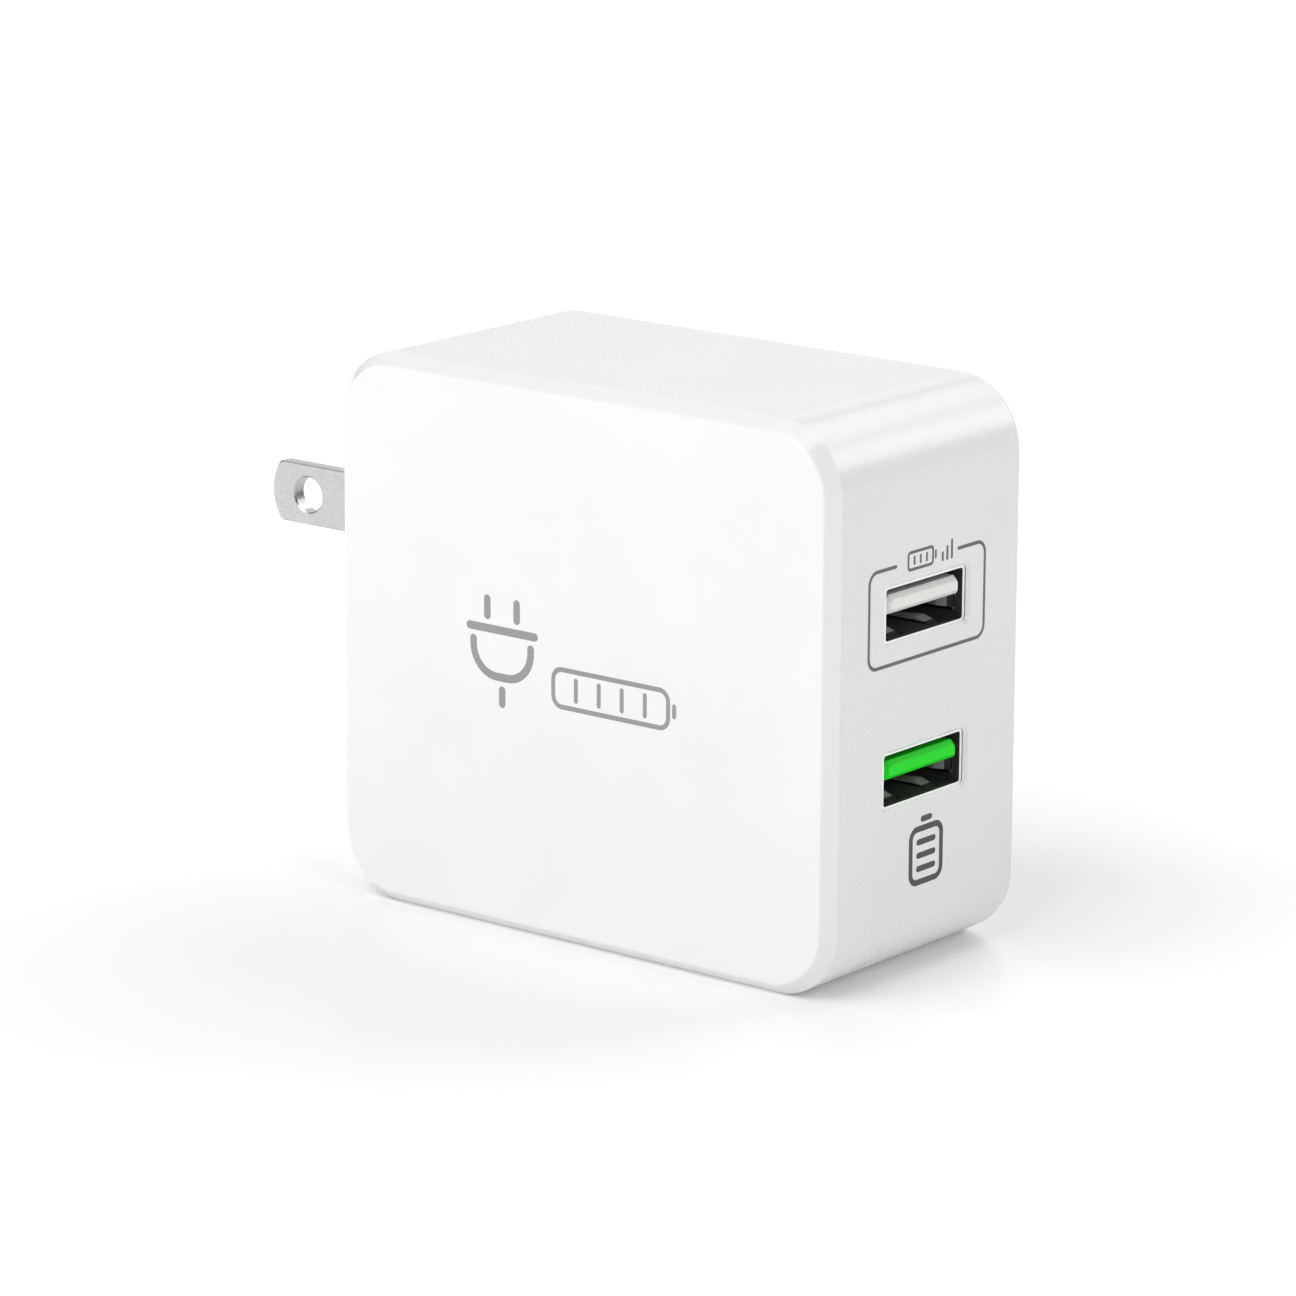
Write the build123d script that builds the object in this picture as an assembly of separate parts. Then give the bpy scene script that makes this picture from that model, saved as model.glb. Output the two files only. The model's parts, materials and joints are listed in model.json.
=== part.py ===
from build123d import *
import os

# Folding-plug USB wall charger. Millimetres, +Z up.
# Origin: centre of the housing's underside. +X is the port side, -X the plug side,
# -Y the front cover, +Y the rear wall.

# Cutting bodies stand this far clear; edges are told apart to within TOUCH
OVERCUT = 1.0
TOUCH = 0.01

# Housing
WIDTH = 62.9
HEIGHT = 57.0
DEPTH = 30.5
CORNER_RADIUS = 7.2
WALL = 2.0
REAR_EDGE_RADIUS = 0.6
FACE_MID_Z = HEIGHT / 2
X_PORT_FACE = WIDTH / 2
X_PLUG_FACE = -WIDTH / 2
X_PLUG_INNER = X_PLUG_FACE + WALL
Y_FRONT = -DEPTH / 2
Y_REAR = DEPTH / 2
Y_REAR_INNER = Y_REAR - WALL

# Front cover
COVER_THICKNESS = 1.5
COVER_CHAMFER_DEPTH = 1.33
COVER_CHAMFER_WIDTH = 1.2
COVER_EDGE_RADIUS = 0.35
COVER_RIB_HEIGHT = 2.0
COVER_RIB_THICKNESS = 1.2
COVER_RIB_GAP = 0.08
Y_PARTING = Y_FRONT + COVER_THICKNESS
PARTING_GROOVE = 0.1

# USB ports
PORT_HEIGHTS = {"upper": 37.2, "lower": 20.7}
PORT_WIDTH = 13.35
PORT_HEIGHT = 5.54
PORT_CORNER = 0.5
PORT_LIP = 0.4
PORT_EDGE_CHAMFER = 0.34
POCKET_WIDTH = 13.5
POCKET_HEIGHT = 6.1
SHELL_INNER_WIDTH = 12.5
SHELL_INNER_HEIGHT = 5.12
SHELL_WALL = 0.3
SHELL_LENGTH = 13.4
SHELL_CORNER = 0.6
TONGUE_WIDTH = 11.7
TONGUE_THICKNESS = 1.9
TONGUE_RECESS = 0.3
TONGUE_CHAMFER = 0.47
TONGUE_CORNER = 0.55
TONGUE_OFFSET = -0.1
TONGUE_BASE = 1.5
TONGUE_BASE_GAP = 0.1
CONTACT_PITCH = (-3.5, -1.0, 1.0, 3.5)
CONTACT_WIDTH = 1.0
CONTACT_THICKNESS = 0.2
CONTACT_LENGTH = 9.5
FINGER_WIDTH = 1.5
FINGER_LENGTH = 5.5
FINGER_NOSE = 1.7
FINGER_RISE = 0.45
FINGER_DROP = 0.1
FINGER_SLIT = 0.35
FINGER_WINDOW_MARGIN = 0.5
FINGER_TIP_INSET = 1.2
FINGER_OFFSET = 3.1
SIDE_FINGER_DROP = 0.9
X_SHELL_FRONT = X_PORT_FACE - PORT_LIP
X_SHELL_BACK = X_SHELL_FRONT - SHELL_LENGTH

# Folding plug
BLADE_SPACING = 12.7
BLADE_THICKNESS = 1.5
BLADE_WIDTH = 6.35
BLADE_REACH = 16.1
BLADE_TIP_RISE = 1.1
BLADE_TIP_CORNER = 0.8
BLADE_HOLE_RADIUS = 1.85
BLADE_EDGE_CHAMFER = 0.15
BLADE_HOLE_FROM_TIP = 4.93
PIVOT_INSET = 4.0
X_PIVOT = X_PLUG_FACE + PIVOT_INSET
Z_PIVOT = 38.6
BARREL_RADIUS = 3.95
BARREL_CLEARANCE = 0.08
BARREL_LENGTH = 18.0
TRUNNION_RADIUS = 1.5
TRUNNION_CLEARANCE = 0.05
TRUNNION_LENGTH = 2.0
CAM_NOSE_WIDTH = 2.0
CAM_WINDOW_WIDTH = 3.2
CAM_WINDOW_HEIGHT = 5.6
CAM_WINDOW_INSET = 2.2
SLOT_WIDTH = 1.9
SLOT_BOTTOM_Z = 17.9
SLOT_FLOOR = 3.6
MOUTH_HALF_HEIGHT = 3.5
MOUTH_END_GAP = 0.1
SCOOP_DEPTH = 1.1
SCOOP_HEIGHT = 7.0
SCOOP_WIDTH = 19.0
SCOOP_MID_Z = SLOT_BOTTOM_Z + SCOOP_HEIGHT / 2
SCOOP_RADIUS = (SCOOP_HEIGHT**2 / 4 + SCOOP_DEPTH**2) / (2 * SCOOP_DEPTH)

# Plug cradle and retainer
CRADLE_HALF_WIDTH = 11.4
CRADLE_BOTTOM_Z = 16.2
CRADLE_TOP_Z = 45.0
X_CRADLE_INNER = -22.4
RETAINER_THICKNESS = 1.5
RETAINER_BOTTOM_Z = 30.5
SADDLE_HEIGHT = 2.9
SADDLE_BARREL_GAP = 0.3
SADDLE_SIDE_GAP = 0.2
SPRING_THICKNESS = 0.3
SPRING_GAP = 0.1
SPRING_SIDE_GAP = 0.2
SPRING_FOOT_GAP = 0.5
X_SPRING = X_PIVOT + BARREL_RADIUS + SPRING_GAP
CONTACT_SPRING_WIDTH = 2.4
BRAKE_SPRING_WIDTH = 5.0
SPRING_BOTTOM_Z = 34.0
SPRING_TOP_Z = CRADLE_TOP_Z + SPRING_THICKNESS
SPRING_TAIL = 4.5

# Circuit boards
BOARD_THICKNESS = 1.6
BOARD_STANDOFF = 1.4
BOARD_LEFT_X = -20.4
BOARD_RIGHT_X = 28.6
BOARD_BOTTOM_Z = 3.0
BOARD_TOP_Z = 54.0
BOARD_CORNER = 4.5
Y_BOARD_BACK = Y_REAR_INNER - BOARD_STANDOFF
Y_BOARD = Y_BOARD_BACK - BOARD_THICKNESS
PORT_BOARD_THICKNESS = 1.2
PORT_BOARD_BOTTOM_Z = 13.0
PORT_BOARD_TOP_Z = 46.0
PORT_BOARD_FRONT_Y = -11.5
X_PORT_BOARD = X_SHELL_BACK - PORT_BOARD_THICKNESS
POST_RADIUS = 1.8
POST_INSET_X = 6.0
POST_INSET_Z = 5.0
BARRIER_THICKNESS = 0.4
BARRIER_GAP = 1.0
X_BARRIER = X_PORT_BOARD - BARRIER_GAP - BARRIER_THICKNESS

# Transformer
CORE_X = -2.5
CORE_Z = 31.0
CORE_Y = 1.2
CORE_WIDTH = 21.0
CORE_HEIGHT = 19.0
CORE_DEPTH = 7.0
CORE_LEG = 4.0
CORE_CENTRE_LEG = 6.0
CORE_YOKE = 3.4
BOBBIN_WALL = 0.7
FLANGE_THICKNESS = 0.8
FOOT_OVERLAP = 0.5
WINDING_BUILD = 2.3
TAPE_THICKNESS = 0.25
WINDOW_GAP = 0.1

# Parts on the main board. Cans: x, z, radius, height. Boxes: x, z, width, length, height, edge.
BOARD_CANS = {
    "bulk_capacitors": ((-13.5, 10.5, 5.0, 19.0), (-2.5, 10.5, 5.0, 19.0)),
    "output_capacitors": ((22.0, 8.5, 3.15, 12.0), (22.0, 48.5, 3.15, 12.0)),
}
BOARD_BOXES = {
    "x_capacitor": (-12.0, 47.5, 13.0, 6.0, 12.0, 0.4),
    "bridge_rectifier": (-17.0, 20.0, 3.5, 7.0, 9.0, 0.4),
    "optocoupler": (11.0, 27.0, 4.6, 6.5, 3.5, 0.3),
    "controller_chip": (11.0, 38.0, 4.0, 5.0, 1.6, 0.3),
    "switching_transistor": (8.6, 11.0, 4.4, 10.0, 14.0, 0.4),
}
CAN_GROOVE = (1.4, 2.0)
CAN_GROOVE_DEPTH = 0.3
CAN_EDGE_RADIUS = 0.5
HEATSINK_X = (10.8, 12.0)
HEATSINK_Z = (4.5, 17.5)
HEATSINK_HEIGHT = 18.0
FUSE_X = -17.4
FUSE_RADIUS = 2.2
FUSE_Z = (27.0, 37.0)
DISC_X = 13.0
DISC_Z = 49.0
DISC_LIFT = 5.0
DISC_RADIUS = 3.6
DISC_THICKNESS = 3.2
DISC_EDGE = 1.0
DISC_LEG = 0.6
DISC_LEG_SPREAD = 1.9
CHOKE_X = 2.5
CHOKE_Z = 47.5
CHOKE_LIFT = 6.4
CHOKE_RING = (3.0, 5.4, 4.0)
CHOKE_COIL = (1.9, 6.4, 6.0)
CHOKE_GAP = 1.2
CHOKE_COIL_HALF_SPAN = 4.0
LEAD_RADIUS = 0.8
LEAD_START = 3.4
X_LEAD_DROP = -19.6
LINK_PIN_HEIGHTS = (27.5, 29.0, 30.5, 32.0)
LINK_PIN = 0.6
LINK_PIN_REACH = 2.0
LINK_PIN_LIFT = 3.0


def block(x0, x1, y0, y1, z0, z1):
    """Box between two corners."""
    centre = Pos((x0 + x1) / 2, (y0 + y1) / 2, (z0 + z1) / 2)
    return centre * Box(x1 - x0, y1 - y0, z1 - z0)


def rod_y(x, z, radius, y0, y1):
    """Cylinder along Y."""
    return Pos(x, (y0 + y1) / 2, z) * Rot(90, 0, 0) * Cylinder(radius, y1 - y0)


def rod_z(x, y, radius, z0, z1):
    """Cylinder along Z."""
    return Pos(x, y, (z0 + z1) / 2) * Cylinder(radius, z1 - z0)


def slab_y(width, height, radius, y0, y1, z_mid):
    """Rounded rectangle in the XZ plane, extruded along Y."""
    plane = Plane((0, y0, z_mid), x_dir=(1, 0, 0), z_dir=(0, 1, 0))
    return extrude(plane * RectangleRounded(width, height, radius), y1 - y0)


def slab_x(width, height, radius, x0, x1, z_mid):
    """Rounded rectangle in the YZ plane, extruded along X."""
    plane = Plane((x0, 0, z_mid), x_dir=(0, 1, 0), z_dir=(1, 0, 0))
    return extrude(plane * RectangleRounded(width, height, radius), x1 - x0)


def blade_outline():
    """Side outline of one blade: flat strip, arched tip, round inner end about the pivot."""
    half = BLADE_WIDTH / 2
    tip = X_PLUG_FACE - BLADE_REACH
    shoulder = tip + BLADE_TIP_RISE
    edge = Polyline(
        (shoulder, Z_PIVOT + half),
        (X_PIVOT, Z_PIVOT + half),
    )
    inner = ThreePointArc(
        (X_PIVOT, Z_PIVOT + half),
        (X_PIVOT + half, Z_PIVOT),
        (X_PIVOT, Z_PIVOT - half),
    )
    lower = Polyline(
        (X_PIVOT, Z_PIVOT - half),
        (shoulder, Z_PIVOT - half),
    )
    nose = ThreePointArc(
        (shoulder, Z_PIVOT - half),
        (tip, Z_PIVOT),
        (shoulder, Z_PIVOT + half),
    )
    return make_face([edge, inner, lower, nose])


def blade(y_mid):
    """Brass blade with a locking hole near its tip and a contact nose at its inner end."""
    plane = Plane((0, y_mid + BLADE_THICKNESS / 2, 0), x_dir=(1, 0, 0), z_dir=(0, -1, 0))
    body = extrude(plane * blade_outline(), BLADE_THICKNESS)
    tip = X_PLUG_FACE - BLADE_REACH
    corners = [
        edge
        for edge in body.edges().filter_by(Axis.Y)
        if abs(edge.center().X - tip - BLADE_TIP_RISE) < TOUCH
    ]
    body = fillet(corners, BLADE_TIP_CORNER)
    body = body - rod_y(
        tip + BLADE_HOLE_FROM_TIP,
        Z_PIVOT,
        BLADE_HOLE_RADIUS,
        y_mid - BLADE_THICKNESS,
        y_mid + BLADE_THICKNESS,
    )
    sides = body.faces().sort_by(Axis.Y)
    body = chamfer(sides[0].edges() + sides[-1].edges(), BLADE_EDGE_CHAMFER)
    nose = block(
        X_PIVOT,
        X_PIVOT + BARREL_RADIUS,
        y_mid - BLADE_THICKNESS / 2,
        y_mid + BLADE_THICKNESS / 2,
        Z_PIVOT - CAM_NOSE_WIDTH / 2,
        Z_PIVOT + CAM_NOSE_WIDTH / 2,
    )
    sweep = rod_y(X_PIVOT, Z_PIVOT, BARREL_RADIUS, y_mid - BLADE_THICKNESS, y_mid + BLADE_THICKNESS)
    return body + (nose & sweep)


def finger_scoop():
    """Shallow dish with round ends, cut where a fingertip reaches the folded blades."""
    reach = SCOOP_WIDTH / 2 - SCOOP_HEIGHT / 2
    x = X_PLUG_FACE + SCOOP_DEPTH - SCOOP_RADIUS
    dish = rod_y(x, SCOOP_MID_Z, SCOOP_RADIUS, -reach, reach)
    for y in (-reach, reach):
        dish = dish + Pos(x, y, SCOOP_MID_Z) * Sphere(SCOOP_RADIUS)
    return dish


def rear_housing():
    """Deep tub: four walls and the rear wall, open towards the front cover."""
    tub = slab_y(WIDTH, HEIGHT, CORNER_RADIUS, Y_PARTING, Y_REAR, FACE_MID_Z)
    tub = fillet(tub.faces().sort_by(Axis.Y)[-1].edges(), REAR_EDGE_RADIUS)
    tub = chamfer(tub.faces().sort_by(Axis.Y)[0].edges(), PARTING_GROOVE)
    cavity = slab_y(
        WIDTH - 2 * WALL,
        HEIGHT - 2 * WALL,
        CORNER_RADIUS - WALL,
        Y_PARTING - OVERCUT,
        Y_REAR_INNER,
        FACE_MID_Z,
    )
    tub = tub - cavity
    for x in (BOARD_LEFT_X + POST_INSET_X, BOARD_RIGHT_X - POST_INSET_X):
        for z in (BOARD_BOTTOM_Z + POST_INSET_Z, BOARD_TOP_Z - POST_INSET_Z):
            tub = tub + rod_y(x, z, POST_RADIUS, Y_BOARD_BACK, Y_REAR_INNER)
    x_cut = X_PORT_FACE - WALL - OVERCUT
    for z in PORT_HEIGHTS.values():
        tub = tub - slab_x(PORT_WIDTH, PORT_HEIGHT, PORT_CORNER, x_cut, X_PORT_FACE + OVERCUT, z)
        tub = tub - slab_x(POCKET_WIDTH, POCKET_HEIGHT, PORT_CORNER, x_cut, X_SHELL_FRONT, z)
        rim = [
            edge
            for edge in tub.edges()
            if abs(edge.center().X - X_PORT_FACE) < TOUCH
            and abs(edge.center().Z - z) < PORT_HEIGHT
            and abs(edge.center().Y) < PORT_WIDTH / 2 + TOUCH
        ]
        tub = chamfer(rim, PORT_EDGE_CHAMFER)
    mouth_half_width = BARREL_LENGTH / 2 + MOUTH_END_GAP
    tub = tub - block(
        X_PLUG_FACE - OVERCUT,
        X_PLUG_INNER + OVERCUT,
        -mouth_half_width,
        mouth_half_width,
        Z_PIVOT - MOUTH_HALF_HEIGHT,
        Z_PIVOT + MOUTH_HALF_HEIGHT,
    )
    for y in (-BLADE_SPACING / 2, BLADE_SPACING / 2):
        tub = tub - block(
            X_PLUG_FACE - OVERCUT,
            X_PLUG_INNER + OVERCUT,
            y - SLOT_WIDTH / 2,
            y + SLOT_WIDTH / 2,
            SLOT_BOTTOM_Z,
            Z_PIVOT,
        )
    return tub - finger_scoop()


def front_cover():
    """Chamfered front plate with a locating rib that plugs into the tub."""
    plate = slab_y(WIDTH, HEIGHT, CORNER_RADIUS, Y_FRONT, Y_PARTING, FACE_MID_Z)
    rim = plate.faces().sort_by(Axis.Y)[0]
    plate = chamfer(rim.edges(), COVER_CHAMFER_WIDTH, COVER_CHAMFER_DEPTH, reference=rim)
    plate = fillet(plate.faces().sort_by(Axis.Y)[0].edges(), COVER_EDGE_RADIUS)
    inset = WALL + COVER_RIB_GAP
    rib_end = Y_PARTING + COVER_RIB_HEIGHT
    rib = slab_y(
        WIDTH - 2 * inset,
        HEIGHT - 2 * inset,
        CORNER_RADIUS - inset,
        Y_PARTING,
        rib_end,
        FACE_MID_Z,
    )
    inset = inset + COVER_RIB_THICKNESS
    rib = rib - slab_y(
        WIDTH - 2 * inset,
        HEIGHT - 2 * inset,
        CORNER_RADIUS - inset,
        Y_PARTING - OVERCUT,
        rib_end + OVERCUT,
        FACE_MID_Z,
    )
    return plate + rib


def prong_carrier(blades):
    """Moulded barrel with end trunnions, cast round the two blades."""
    half = BARREL_LENGTH / 2
    barrel = rod_y(X_PIVOT, Z_PIVOT, BARREL_RADIUS, -half, half)
    trunnion_end = half + TRUNNION_LENGTH
    barrel = barrel + rod_y(X_PIVOT, Z_PIVOT, TRUNNION_RADIUS, -trunnion_end, trunnion_end)
    for y, solid in blades.items():
        barrel = barrel - block(
            X_PIVOT + CAM_WINDOW_INSET,
            X_PIVOT + BARREL_RADIUS + OVERCUT,
            y - CAM_WINDOW_WIDTH / 2,
            y + CAM_WINDOW_WIDTH / 2,
            Z_PIVOT - CAM_WINDOW_HEIGHT / 2,
            Z_PIVOT + CAM_WINDOW_HEIGHT / 2,
        )
        barrel = barrel - solid
    return barrel


def prong_cradle():
    """Block behind the plug wall: blade slots, barrel pocket and open trunnion seats."""
    body = block(
        X_PLUG_INNER,
        X_CRADLE_INNER,
        -CRADLE_HALF_WIDTH,
        CRADLE_HALF_WIDTH,
        CRADLE_BOTTOM_Z,
        CRADLE_TOP_Z,
    )
    for y in (-BLADE_SPACING / 2, BLADE_SPACING / 2):
        body = body - block(
            X_PLUG_INNER - OVERCUT,
            X_PIVOT + SLOT_FLOOR,
            y - SLOT_WIDTH / 2,
            y + SLOT_WIDTH / 2,
            SLOT_BOTTOM_Z,
            Z_PIVOT,
        )
    for radius, half in (
        (BARREL_RADIUS + BARREL_CLEARANCE, BARREL_LENGTH / 2 + MOUTH_END_GAP),
        (TRUNNION_RADIUS + TRUNNION_CLEARANCE, CRADLE_HALF_WIDTH + OVERCUT),
    ):
        body = body - rod_y(X_PIVOT, Z_PIVOT, radius, -half, half)
        body = body - block(
            X_PIVOT,
            X_CRADLE_INNER + OVERCUT,
            -half,
            half,
            Z_PIVOT - radius,
            Z_PIVOT + radius,
        )
    channels = [(0.0, BRAKE_SPRING_WIDTH / 2 + SPRING_SIDE_GAP)]
    for y in (-BLADE_SPACING / 2, BLADE_SPACING / 2):
        channels.append((y, CONTACT_SPRING_WIDTH / 2 + SPRING_SIDE_GAP))
    for y, half in channels:
        body = body - block(
            X_SPRING - SPRING_GAP,
            X_CRADLE_INNER + OVERCUT,
            y - half,
            y + half,
            SPRING_BOTTOM_Z - SPRING_FOOT_GAP,
            CRADLE_TOP_Z + OVERCUT,
        )
    return body


def prong_retainer():
    """Plate that closes the cradle, with a saddle over each trunnion."""
    plate = block(
        X_CRADLE_INNER,
        X_CRADLE_INNER + RETAINER_THICKNESS,
        -CRADLE_HALF_WIDTH,
        CRADLE_HALF_WIDTH,
        RETAINER_BOTTOM_Z,
        CRADLE_TOP_Z,
    )
    inner = BARREL_LENGTH / 2 + SADDLE_BARREL_GAP
    outer = CRADLE_HALF_WIDTH - SADDLE_SIDE_GAP
    for side in (-1, 1):
        y0, y1 = sorted((side * inner, side * outer))
        saddle = block(
            X_PIVOT,
            X_CRADLE_INNER,
            y0,
            y1,
            Z_PIVOT - SADDLE_HEIGHT / 2,
            Z_PIVOT + SADDLE_HEIGHT / 2,
        )
        seat = TRUNNION_RADIUS + TRUNNION_CLEARANCE
        saddle = saddle - rod_y(X_PIVOT, Z_PIVOT, seat, y0 - OVERCUT, y1 + OVERCUT)
        plate = plate + saddle
    return plate


def leaf_spring(y_mid, width):
    """Flat leaf beside the barrel, its top bent inwards over the retainer."""
    leaf = block(
        X_SPRING,
        X_SPRING + SPRING_THICKNESS,
        y_mid - width / 2,
        y_mid + width / 2,
        SPRING_BOTTOM_Z,
        SPRING_TOP_Z,
    )
    tail = block(
        X_SPRING,
        X_SPRING + SPRING_TAIL,
        y_mid - width / 2,
        y_mid + width / 2,
        SPRING_TOP_Z - SPRING_THICKNESS,
        SPRING_TOP_Z,
    )
    return leaf + tail


def spring_finger(wall_distance, offset):
    """Sprung tongue of a wall lying below the port axis, and the window it bends in."""
    half = FINGER_WIDTH / 2
    x_tip = X_SHELL_FRONT - FINGER_TIP_INSET
    x_bend = x_tip - FINGER_NOSE
    x_root = x_bend - FINGER_LENGTH
    window = block(
        x_root,
        x_tip + FINGER_SLIT,
        offset - half - FINGER_SLIT,
        offset + half + FINGER_SLIT,
        -wall_distance - SHELL_WALL - FINGER_WINDOW_MARGIN,
        -wall_distance + FINGER_WINDOW_MARGIN,
    )
    profile = Polyline(
        (x_root, -wall_distance),
        (x_bend, -wall_distance + FINGER_RISE),
        (x_tip, -wall_distance - FINGER_DROP),
        (x_tip, -wall_distance - FINGER_DROP - SHELL_WALL),
        (x_bend, -wall_distance + FINGER_RISE - SHELL_WALL),
        (x_root, -wall_distance - SHELL_WALL),
        close=True,
    )
    plane = Plane((0, offset + half, 0), x_dir=(1, 0, 0), z_dir=(0, -1, 0))
    finger = extrude(plane * make_face(profile), FINGER_WIDTH)
    return window, finger


def usb_shell(z):
    """Folded metal shell, closed at the back, with sprung fingers in all four walls."""
    outer_width = SHELL_INNER_WIDTH + 2 * SHELL_WALL
    outer_height = SHELL_INNER_HEIGHT + 2 * SHELL_WALL
    shell = slab_x(outer_width, outer_height, SHELL_CORNER, X_SHELL_BACK, X_SHELL_FRONT, z)
    shell = shell - slab_x(
        SHELL_INNER_WIDTH,
        SHELL_INNER_HEIGHT,
        SHELL_CORNER - SHELL_WALL,
        X_SHELL_BACK + SHELL_WALL,
        X_SHELL_FRONT + OVERCUT,
        z,
    )
    walls = (
        (0, SHELL_INNER_HEIGHT / 2, (-FINGER_OFFSET, FINGER_OFFSET)),
        (180, SHELL_INNER_HEIGHT / 2, (-FINGER_OFFSET, FINGER_OFFSET)),
        (90, SHELL_INNER_WIDTH / 2, (-SIDE_FINGER_DROP,)),
        (-90, SHELL_INNER_WIDTH / 2, (SIDE_FINGER_DROP,)),
    )
    for turn, distance, offsets in walls:
        for offset in offsets:
            window, finger = spring_finger(distance, offset)
            placed = Pos(0, 0, z) * Rot(turn, 0, 0)
            shell = shell - placed * window
            shell = shell + placed * finger
    return shell


def usb_tongue(z):
    """Plastic tongue in the upper half of the shell, its edges and corners chamfered."""
    x0 = X_SHELL_BACK + SHELL_WALL
    x1 = X_PORT_FACE - TONGUE_RECESS
    y0 = TONGUE_OFFSET - TONGUE_WIDTH / 2
    y1 = TONGUE_OFFSET + TONGUE_WIDTH / 2
    tongue = block(x0, x1, y0, y1, z, z + TONGUE_THICKNESS)
    long_edges = tongue.edges().filter_by(Axis.X)
    tongue = chamfer(long_edges.sort_by(Axis.Z)[-2:], TONGUE_CORNER)
    front = tongue.faces().sort_by(Axis.X)[-1]
    tongue = chamfer(front.edges(), TONGUE_CHAMFER)
    base = block(
        x0,
        x0 + TONGUE_BASE,
        y0,
        y1,
        z - SHELL_INNER_HEIGHT / 2 + TONGUE_BASE_GAP,
        z + SHELL_INNER_HEIGHT / 2 - TONGUE_BASE_GAP,
    )
    return tongue + base


def usb_contacts(z):
    """Four contact strips lying under the tongue."""
    strips = []
    for y in CONTACT_PITCH:
        strip = block(
            X_SHELL_BACK + SHELL_WALL + TONGUE_BASE,
            X_SHELL_BACK + SHELL_WALL + TONGUE_BASE + CONTACT_LENGTH,
            y - CONTACT_WIDTH / 2,
            y + CONTACT_WIDTH / 2,
            z - CONTACT_THICKNESS,
            z,
        )
        strips.append(strip)
    return Compound(strips)


def main_board():
    """Main circuit board, component side towards the front cover."""
    mid_x = (BOARD_LEFT_X + BOARD_RIGHT_X) / 2
    mid_z = (BOARD_BOTTOM_Z + BOARD_TOP_Z) / 2
    plane = Plane((mid_x, Y_BOARD, mid_z), x_dir=(1, 0, 0), z_dir=(0, 1, 0))
    outline = RectangleRounded(BOARD_RIGHT_X - BOARD_LEFT_X, BOARD_TOP_Z - BOARD_BOTTOM_Z, BOARD_CORNER)
    return extrude(plane * outline, BOARD_THICKNESS)


def on_board_can(x, z, radius, height):
    """Upright round can on the main board with a rolled groove near its base."""
    can = rod_y(x, z, radius, Y_BOARD - height, Y_BOARD)
    y1, y0 = [Y_BOARD - lift for lift in CAN_GROOVE]
    groove = rod_y(x, z, radius + OVERCUT, y0, y1)
    groove = groove - rod_y(x, z, radius - CAN_GROOVE_DEPTH, y0 - OVERCUT, y1 + OVERCUT)
    can = can - groove
    return fillet(can.faces().sort_by(Axis.Y)[0].edges(), CAN_EDGE_RADIUS)


def on_board_box(x, z, width, length, height, edge):
    """Moulded box on the main board with softened free edges."""
    body = block(x - width / 2, x + width / 2, Y_BOARD - height, Y_BOARD, z - length / 2, z + length / 2)
    return chamfer(body.faces().sort_by(Axis.Y)[0].edges(), edge)


def transformer_core(side):
    """One E-shaped ferrite half, its three legs meeting the other half at mid height."""
    half = CORE_HEIGHT / 2
    y0 = CORE_Y - CORE_DEPTH / 2
    y1 = CORE_Y + CORE_DEPTH / 2
    z_ends = sorted((CORE_Z, CORE_Z + side * half))
    core = block(CORE_X - CORE_WIDTH / 2, CORE_X + CORE_WIDTH / 2, y0, y1, z_ends[0], z_ends[1])
    window_z = sorted((CORE_Z - side, CORE_Z + side * (half - CORE_YOKE)))
    for direction in (-1, 1):
        near = CORE_X + direction * CORE_CENTRE_LEG / 2
        far = CORE_X + direction * (CORE_WIDTH / 2 - CORE_LEG)
        window_x = sorted((near, far))
        core = core - block(*window_x, y0 - OVERCUT, y1 + OVERCUT, *window_z)
    return core


def sleeve_z(inner_x, inner_y, build, z0, z1):
    """Rectangular sleeve round the transformer's centre leg."""
    outer = block(
        CORE_X - inner_x - build,
        CORE_X + inner_x + build,
        CORE_Y - inner_y - build,
        CORE_Y + inner_y + build,
        z0,
        z1,
    )
    bore = block(
        CORE_X - inner_x,
        CORE_X + inner_x,
        CORE_Y - inner_y,
        CORE_Y + inner_y,
        z0 - OVERCUT,
        z1 + OVERCUT,
    )
    return outer - bore


def transformer():
    """Bobbin with flanges, copper winding and outer tape, all on the centre leg."""
    reach = CORE_HEIGHT / 2 - CORE_YOKE - WINDOW_GAP
    z0 = CORE_Z - reach
    z1 = CORE_Z + reach
    leg_x = CORE_CENTRE_LEG / 2 + WINDOW_GAP
    leg_y = CORE_DEPTH / 2 + WINDOW_GAP
    bobbin = sleeve_z(leg_x, leg_y, BOBBIN_WALL, z0, z1)
    flange_build = CORE_WIDTH / 2 - CORE_LEG - WINDOW_GAP - leg_x
    for low in (z0, z1 - FLANGE_THICKNESS):
        bobbin = bobbin + sleeve_z(leg_x, leg_y, flange_build, low, low + FLANGE_THICKNESS)
    foot_y = CORE_Y + leg_y + flange_build
    for low in (z0, z1 - FLANGE_THICKNESS):
        bobbin = bobbin + block(
            CORE_X - leg_x - flange_build,
            CORE_X + leg_x + flange_build,
            foot_y - FOOT_OVERLAP,
            Y_BOARD,
            low,
            low + FLANGE_THICKNESS,
        )
    wind_z0 = z0 + FLANGE_THICKNESS
    wind_z1 = z1 - FLANGE_THICKNESS
    wind_x = leg_x + BOBBIN_WALL
    wind_y = leg_y + BOBBIN_WALL
    winding = sleeve_z(wind_x, wind_y, WINDING_BUILD, wind_z0, wind_z1)
    tape = sleeve_z(wind_x + WINDING_BUILD, wind_y + WINDING_BUILD, TAPE_THICKNESS, wind_z0, wind_z1)
    return bobbin, winding, tape


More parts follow.
